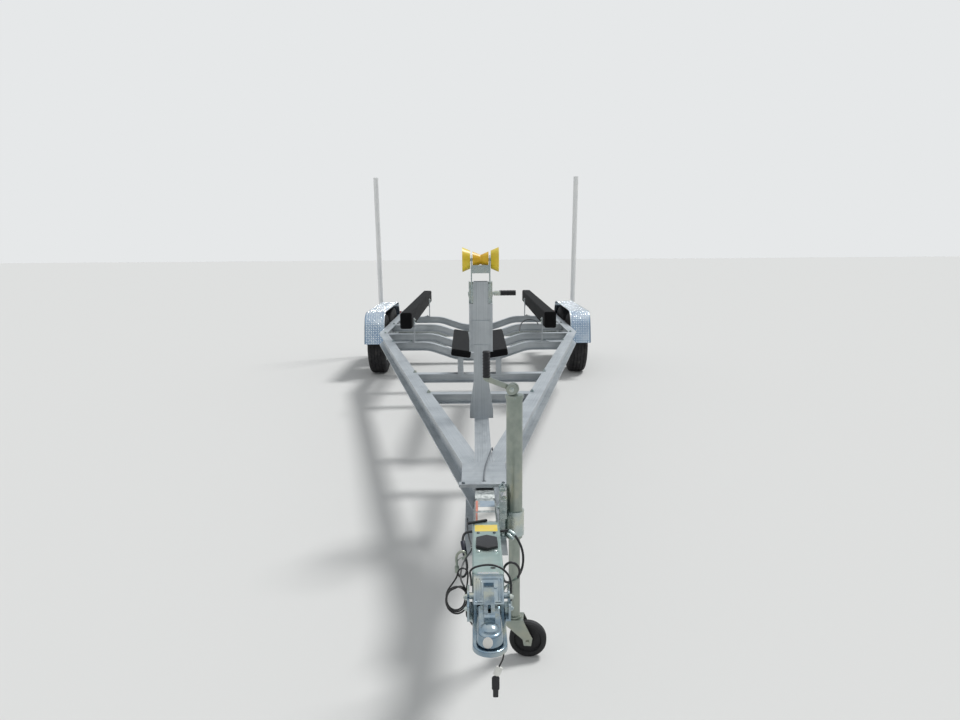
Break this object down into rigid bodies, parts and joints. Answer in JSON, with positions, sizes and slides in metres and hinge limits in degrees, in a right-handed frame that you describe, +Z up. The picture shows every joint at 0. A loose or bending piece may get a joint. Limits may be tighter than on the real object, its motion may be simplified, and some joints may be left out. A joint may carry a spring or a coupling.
{
  "type": "tandem-axle boat trailer",
  "caption": "Aluminium I-beam boat trailer with carpeted bunks, tread-plate fenders, winch stand, guide posts, surge coupler and wheeled jack.",
  "frame": {"origin": "on the floor, half way along the trailer, on its centre line", "axes": "+Z up, -Y towards the coupler, +X to the side that carries the jack"},
  "size_m": [2.7144, 8.42, 2.3603],
  "materials": {
    "aluminium_beam": "mill finish, dulled",
    "tread_plate": "bright diamond tread",
    "zinc_steel": "zinc plated or galvanised",
    "black_carpet": "needled carpet",
    "tyre_rubber": "matt",
    "black_rubber": "satin",
    "black_plastic": "satin",
    "yellow_polymer": "semi-gloss",
    "white_pvc": "semi-gloss",
    "red_lens": "moulded lens"
  },
  "bodies": {
    "frame": {"main_beam_left": "aluminium_beam", "main_beam_right": "aluminium_beam", "tongue_plates": "aluminium_beam", "tongue_tube": "aluminium_beam", "cross_members_straight": "aluminium_beam", "cross_members_curved": "aluminium_beam", "winch_pedestal": "aluminium_beam", "winch_post": "aluminium_beam", "roller_bracket": "zinc_steel", "winch_frame": "zinc_steel", "jack_mount": "zinc_steel", "jack_tube": "zinc_steel", "jack_crank": "zinc_steel", "bunk_left": "black_carpet", "bunk_right": "black_carpet", "bunk_brackets": "aluminium_beam", "front_bunk_left": "black_carpet", "front_bunk_right": "black_carpet", "front_bunk_posts": "zinc_steel", "fender_left": "tread_plate", "fender_right": "tread_plate", "fender_braces": "aluminium_beam", "axle_front": "zinc_steel", "axle_rear": "zinc_steel", "guide_brackets": "zinc_steel", "guide_posts": "white_pvc", "tail_lights": "red_lens", "actuator_case": "zinc_steel", "actuator_slide": "zinc_steel", "actuator_lever": "black_plastic", "reservoir_cap": "black_plastic", "coupler_head": "zinc_steel", "coupler_latch": "zinc_steel", "brake_line": "zinc_steel", "safety_cables": "black_plastic", "breakaway_cable": "black_plastic", "wiring_lead": "black_plastic", "wiring_coil": "black_plastic", "wiring_plug": "black_plastic"},
    "bow_roller": {"bow_roller": "yellow_polymer"},
    "winch_drum": {"winch_drum": "zinc_steel"},
    "winch_crank": {"winch_crank": "zinc_steel"},
    "jack_leg": {"jack_leg": "zinc_steel"},
    "jack_fork": {"jack_fork": "zinc_steel"},
    "jack_wheel": {"jack_wheel": "black_rubber"},
    "wheel_front_left": {"rim_front_left": "zinc_steel", "tyre_front_left": "tyre_rubber"},
    "wheel_front_right": {"rim_front_right": "zinc_steel", "tyre_front_right": "tyre_rubber"},
    "wheel_rear_left": {"rim_rear_left": "zinc_steel", "tyre_rear_left": "tyre_rubber"},
    "wheel_rear_right": {"rim_rear_right": "zinc_steel", "tyre_rear_right": "tyre_rubber"}
  },
  "joints": [
    {"name": "wheel_front_left_spin", "type": "hinge", "parent": "frame", "child": "wheel_front_left", "pos_m": [-1.156, 2.58, 0.344], "axis": [1, 0, 0], "continuous": true},
    {"name": "wheel_front_right_spin", "type": "hinge", "parent": "frame", "child": "wheel_front_right", "pos_m": [1.156, 2.58, 0.344], "axis": [1, 0, 0], "continuous": true},
    {"name": "wheel_rear_left_spin", "type": "hinge", "parent": "frame", "child": "wheel_rear_left", "pos_m": [-1.156, 3.44, 0.344], "axis": [1, 0, 0], "continuous": true},
    {"name": "wheel_rear_right_spin", "type": "hinge", "parent": "frame", "child": "wheel_rear_right", "pos_m": [1.156, 3.44, 0.344], "axis": [1, 0, 0], "continuous": true},
    {"name": "bow_roller_spin", "type": "hinge", "parent": "frame", "child": "bow_roller", "pos_m": [0, -2.11, 1.416], "axis": [1, 0, 0], "continuous": true},
    {"name": "winch_crank_turn", "type": "hinge", "parent": "frame", "child": "winch_crank", "pos_m": [0, -2.012, 1.237], "axis": [1, 0, 0], "continuous": true},
    {"name": "winch_drum_turn", "type": "hinge", "parent": "frame", "child": "winch_drum", "pos_m": [0, -1.95, 1.222], "axis": [1, 0, 0], "continuous": true},
    {"name": "jack_extend", "type": "slide", "parent": "frame", "child": "jack_leg", "axis": [0, 0, -1], "range_m": [-0.25, 0]},
    {"name": "jack_swivel", "type": "hinge", "parent": "jack_leg", "child": "jack_fork", "pos_m": [0.104, -3.39, 0.148], "axis": [0, 0, 1], "continuous": true},
    {"name": "jack_wheel_spin", "type": "hinge", "parent": "jack_fork", "child": "jack_wheel", "pos_m": [0.15363, -3.39609, 0.068], "axis": [-0.1219, -0.9925, 0], "continuous": true}
  ],
  "couplings": [
    {"joint": "winch_drum_turn", "follows": "winch_crank_turn", "ratio": -0.25}
  ]
}
